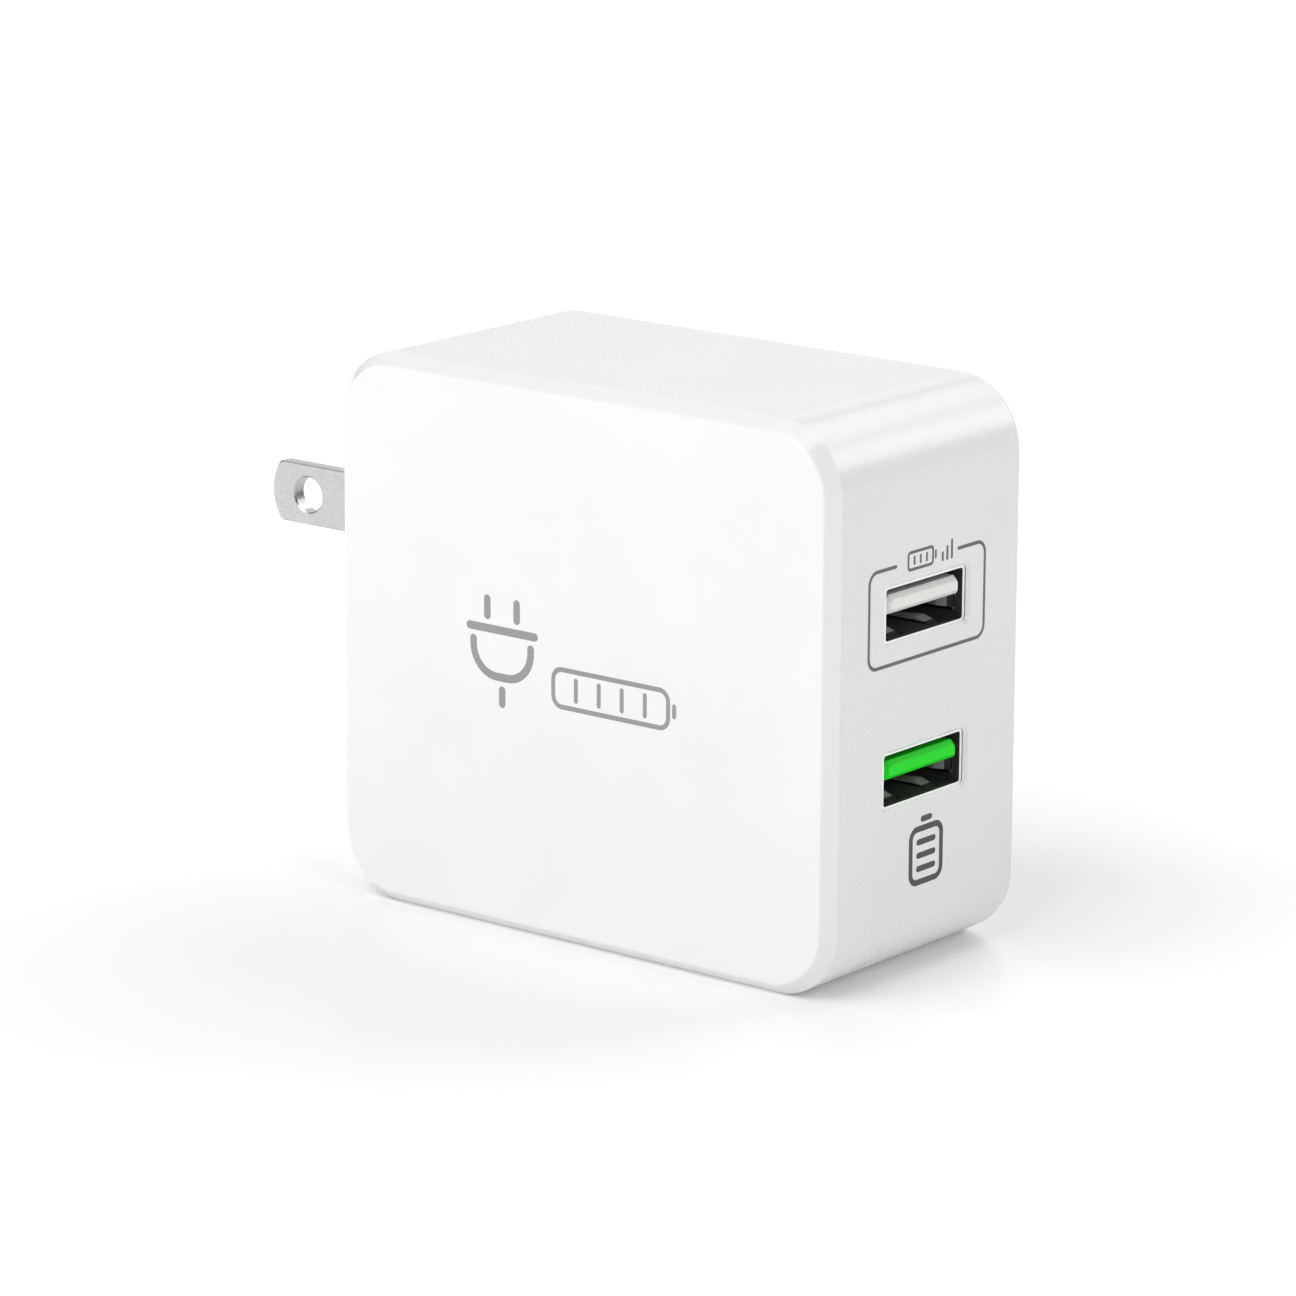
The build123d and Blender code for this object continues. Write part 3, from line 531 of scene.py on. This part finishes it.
printed("print_front_plug", FRONT_FACE, plug_glyph(middle=-9.5, foot=23.1, line=0.85), EMBLEM_INK)
printed(
    "print_front_battery",
    FRONT_FACE,
    battery(-2.9, 11.6, 24.5, 28.3, radius=1.1, line=0.5, cells=4, upright=False),
    EMBLEM_INK,
)
printed(
    "print_upper_port_frame",
    PORT_FACE,
    broken_frame(-9.5, 9.3, 32.4, 41.95, radius=1.2, gap=(-5.3, 4.9), line=0.36),
    PORT_INK,
)
printed(
    "print_upper_port_battery",
    PORT_FACE,
    battery(-3.3, 0.7, 41.2, 42.9, radius=0.35, line=0.3, cells=3, upright=False)
    + level_bars(2.3, 41.1, heights=(1.0, 1.5, 2.0), pitch=0.75, line=0.34),
    PORT_INK,
)
printed(
    "print_lower_port_battery",
    PORT_FACE,
    battery(-2.2, 2.8, 9.5, 14.9, radius=1.0, line=0.62, cells=3, upright=True),
    LOWER_INK,
)

# ---------------------------------------------------------------- studio

# Camera: angles in degrees, distances in metres, lens and sensor in millimetres.
CAMERA_AZIMUTH = 38.80
CAMERA_ELEVATION = 14.25
CAMERA_ROLL = 0.22
CAMERA_DISTANCE = 0.57419
CAMERA_LENS = 159.2
CAMERA_SENSOR = 36.0
CAMERA_CLIP = (0.01, 20.0)
AIM_HEIGHT = 0.0285
AIM_RIGHT = -0.00249
AIM_UP = -0.00067


def direction(azimuth, elevation):
    """Unit vector from angles in degrees. Azimuth 0 is in front, 90 on the port side."""
    turn, lift = math.radians(azimuth), math.radians(elevation)
    return Vector((math.sin(turn) * math.cos(lift), -math.cos(turn) * math.cos(lift), math.sin(lift)))


back = direction(CAMERA_AZIMUTH, CAMERA_ELEVATION)
level = (-back).cross(Vector((0, 0, 1))).normalized()
upright = level.cross(-back)
roll = math.radians(CAMERA_ROLL)
right = math.cos(roll) * level + math.sin(roll) * upright
up = -math.sin(roll) * level + math.cos(roll) * upright
aim = Vector((0, 0, AIM_HEIGHT)) + AIM_RIGHT * right + AIM_UP * up
camera_data = bpy.data.cameras.new("camera")
camera_data.lens = CAMERA_LENS
camera_data.sensor_width = CAMERA_SENSOR
camera_data.clip_start, camera_data.clip_end = CAMERA_CLIP
camera = new_object("camera", camera_data)
pose = Matrix((right, up, back)).transposed().to_4x4()
pose.translation = aim + CAMERA_DISTANCE * back
camera.matrix_world = pose
bpy.context.scene.camera = camera

# The floor glows, painted light that grows with distance from the object, so that it fades to
# white and the contact shadows stay: pairs of distance in metres and emission strength.
FLOOR_GLOWS = ((0.035, 0.07), (0.09, 0.17), (0.65, 0.3), (1.6, 0.9))
GLOW_REACH = 2.0
FLOOR_HALF = 4.0
FLOOR_GREY = 0.9
FLOOR_ROUGHNESS = 0.35
FLOOR_CORNERS = ((-1, -1), (1, -1), (1, 1), (-1, 1))
floor_mesh = bpy.data.meshes.new("floor")
sheet = bmesh.new()
sheet.faces.new([sheet.verts.new((x * FLOOR_HALF, y * FLOOR_HALF, 0.0)) for x, y in FLOOR_CORNERS])
sheet.to_mesh(floor_mesh)
sheet.free()
floor = new_object("floor", floor_mesh)
floor_material, floor_tree, floor_shader = node_material("floor_white")
floor_shader.inputs["Base Color"].default_value = (FLOOR_GREY, FLOOR_GREY, FLOOR_GREY, 1.0)
floor_shader.inputs["Roughness"].default_value = FLOOR_ROUGHNESS
floor_shader.inputs["Emission Color"].default_value = (1.0, 1.0, 1.0, 1.0)
reach = add(floor_tree, "ShaderNodeVectorMath", operation="LENGTH")
floor_tree.links.new(object_coords(floor_tree, (1 / GLOW_REACH,) * 3), reach.inputs[0])
glow = add(floor_tree, "ShaderNodeValToRGB")
for distance, strength in FLOOR_GLOWS[2:]:
    glow.color_ramp.elements.new(distance / GLOW_REACH)
for element, (distance, strength) in zip(glow.color_ramp.elements, FLOOR_GLOWS):
    element.position = distance / GLOW_REACH
    element.color = (strength, strength, strength, 1.0)
floor_tree.links.new(reach.outputs["Value"], glow.inputs["Fac"])
floor_tree.links.new(glow.outputs["Color"], floor_shader.inputs["Emission Strength"])
floor_mesh.materials.append(floor_material)


# Softboxes on a dome: elevations in degrees, sizes and distances in metres, powers in watts.
DOME_CENTRE = Vector((0, 0, 0.03))
DOME_RADIUS = 1.3
HIGH, MIDDLE, PANEL, LOW = 52, 26, 14, 9
HIGH_SIZE, MIDDLE_SIZE, PANEL_SIZE, LOW_SIZE = 0.8, 0.45, 0.7, 0.35


def softbox(name, azimuth, elevation, size, watts):
    """Square softbox on the dome, facing its centre."""
    towards = direction(azimuth, elevation)
    data = bpy.data.lights.new(name, "AREA")
    data.shape = "SQUARE"
    data.size = size
    data.energy = watts
    light = new_object(name, data)
    light.location = DOME_CENTRE + DOME_RADIUS * towards
    light.rotation_euler = (-towards).to_track_quat("-Z", "Y").to_euler()


softbox("front_box", 0, HIGH, HIGH_SIZE, 6.8)
softbox("front_plug_box", -45, HIGH, HIGH_SIZE, 2.9)
softbox("rear_box", 180, HIGH, HIGH_SIZE, 5.3)
softbox("port_side_box", 70, MIDDLE, MIDDLE_SIZE, 4.05)
softbox("rear_port_box", 150, MIDDLE, MIDDLE_SIZE, 2.7)
softbox("rear_middle_box", 180, MIDDLE, MIDDLE_SIZE, 0.5)
softbox("rear_plug_box", 215, MIDDLE, MIDDLE_SIZE, 0.4)
softbox("rear_panel", 219, PANEL, PANEL_SIZE, 1.1)
softbox("low_front_box", -25, LOW, LOW_SIZE, 1.4)
softbox("low_plug_box", -60, LOW, LOW_SIZE, 4.7)
softbox("low_rear_port_box", 150, LOW, LOW_SIZE, 0.3)

WORLD_STRENGTH = 0.12
world = bpy.data.worlds.new("studio")
world.use_nodes = True
background = world.node_tree.nodes["Background"]
background.inputs["Color"].default_value = (1.0, 1.0, 1.0, 1.0)
background.inputs["Strength"].default_value = WORLD_STRENGTH
bpy.context.scene.world = world
bpy.context.scene.view_settings.view_transform = "Standard"
